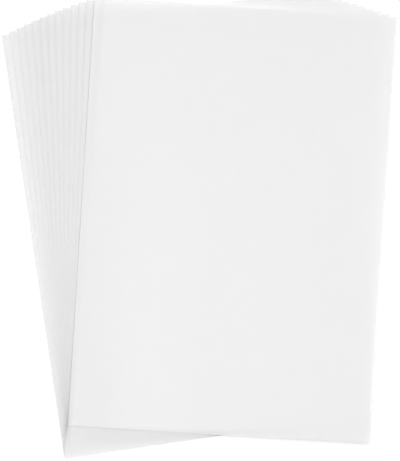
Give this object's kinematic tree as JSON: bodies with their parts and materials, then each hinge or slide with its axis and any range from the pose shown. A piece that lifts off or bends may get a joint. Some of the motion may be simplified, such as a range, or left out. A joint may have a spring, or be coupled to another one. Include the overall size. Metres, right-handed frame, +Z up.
{
  "type": "pack of vellum paper",
  "caption": "Pack of plain translucent vellum paper sheets, fanned out flat about a point near their bottom edges.",
  "frame": {"origin": "middle of the ground that the fan covers, on the surface that the bottom sheet lies on", "axes": "+Z up out of the stack, +Y towards the top edges of the sheets, +X towards their right edges"},
  "size_m": [0.2742, 0.3244, 0.0013],
  "materials": {
    "vellum": "satin translucent"
  },
  "bodies": {
    "root": {"sheet_01": "vellum", "sheet_02": "vellum", "sheet_03": "vellum", "sheet_04": "vellum", "sheet_05": "vellum", "sheet_06": "vellum", "sheet_07": "vellum", "sheet_08": "vellum", "sheet_09": "vellum", "sheet_10": "vellum", "sheet_11": "vellum", "sheet_12": "vellum", "sheet_13": "vellum"}
  },
  "joints": []
}
